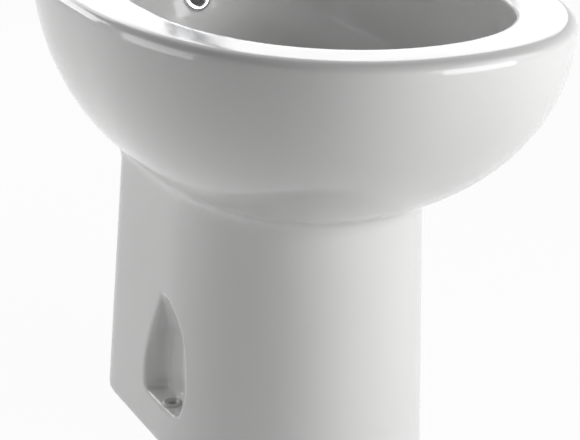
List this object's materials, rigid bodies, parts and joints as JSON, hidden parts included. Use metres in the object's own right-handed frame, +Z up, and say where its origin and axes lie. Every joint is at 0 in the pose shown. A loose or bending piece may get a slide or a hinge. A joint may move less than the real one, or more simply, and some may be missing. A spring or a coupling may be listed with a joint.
{
  "type": "floor-standing bidet",
  "caption": "Floor-standing bidet: oval glazed bowl on a curved pedestal with side fixing niches, lever mixer, pop-up waste and bottle trap.",
  "frame": {"origin": "on the floor, under the middle of the rim", "axes": "+Z up, -Y towards the front of the bowl, +Y towards the wall, +X to the right seen from the front"},
  "size_m": [0.36, 0.554, 0.505],
  "materials": {
    "glazed_ceramic": "glossy glaze",
    "chrome": "polished",
    "steel": "brushed",
    "brass": "turned",
    "white_plastic": "moulded",
    "cartridge_plastic": "moulded",
    "bush_plastic": "moulded",
    "rubber": "matte",
    "index": "moulded"
  },
  "bodies": {
    "base": {"ceramic_rim": "glazed_ceramic", "ceramic_basin": "glazed_ceramic", "ceramic_bowl": "glazed_ceramic", "ceramic_pedestal": "glazed_ceramic", "ceramic_niches": "glazed_ceramic", "fixing_bushes": "bush_plastic", "overflow_ring": "chrome", "waste_flange": "chrome", "flange_seal": "rubber", "lower_seal": "rubber", "waste_body": "white_plastic", "ball_seat": "white_plastic", "ball_nut": "white_plastic", "union_nut": "white_plastic", "union_seal": "rubber", "inlet_pipe": "white_plastic", "neck_nut": "white_plastic", "neck_seal": "rubber", "trap_body": "white_plastic", "cup_seal": "rubber", "trap_cup": "white_plastic", "outlet_nut": "white_plastic", "outlet_seal": "rubber", "outlet_pipe": "white_plastic", "mixer_body": "chrome", "base_gasket": "rubber", "fixing_stud": "brass", "clamp_gasket": "rubber", "clamp_plate": "steel", "stud_nut": "brass", "cartridge": "cartridge_plastic", "cartridge_nut": "brass", "barrel_cap": "chrome", "ball_nipple": "chrome"},
    "rod": {"lift_rod": "chrome", "lift_knob": "chrome", "linkage_strap": "steel", "strap_screw": "steel"},
    "pivot": {"ball_lever": "steel", "lever_clip": "steel"},
    "stopper": {"plug": "chrome", "plug_seal": "rubber"},
    "swing": {"swing_carrier": "cartridge_plastic"},
    "lever": {"cartridge_stem": "brass", "lever_handle": "chrome", "handle_screw": "steel", "index_plug": "index"},
    "seat": {"nozzle_seat": "chrome"},
    "spray": {"nozzle": "chrome", "aerator_insert": "cartridge_plastic"}
  },
  "joints": [
    {"name": "rod_lift", "type": "slide", "parent": "base", "child": "rod", "axis": [0, 0, 1], "range_m": [0, 0.038]},
    {"name": "ball_turn", "type": "hinge", "parent": "base", "child": "pivot", "pos_m": [0, 0.082, 0.211], "axis": [1, 0, 0], "range_deg": [0, 18.46]},
    {"name": "plug_drop", "type": "slide", "parent": "base", "child": "stopper", "axis": [0, 0, 1], "range_m": [-0.0071, 0]},
    {"name": "lever_swing", "type": "hinge", "parent": "base", "child": "swing", "pos_m": [0, 0.223, 0.46], "axis": [0, 0, 1], "range_deg": [-50, 50]},
    {"name": "lever_lift", "type": "hinge", "parent": "swing", "child": "lever", "pos_m": [0, 0.223, 0.474], "axis": [-1, 0, 0], "range_deg": [0, 25]},
    {"name": "nozzle_tilt", "type": "hinge", "parent": "base", "child": "seat", "pos_m": [0, 0.117, 0.421], "axis": [1, 0, 0], "range_deg": [-15, 15]},
    {"name": "nozzle_sway", "type": "hinge", "parent": "seat", "child": "spray", "pos_m": [0, 0.117, 0.421], "axis": [0, 1, 0], "range_deg": [-15, 15]}
  ],
  "couplings": [
    {"joint": "ball_turn", "follows": "rod_lift", "rad_per_m": 8.4746},
    {"joint": "plug_drop", "follows": "rod_lift", "ratio": -0.18644}
  ]
}
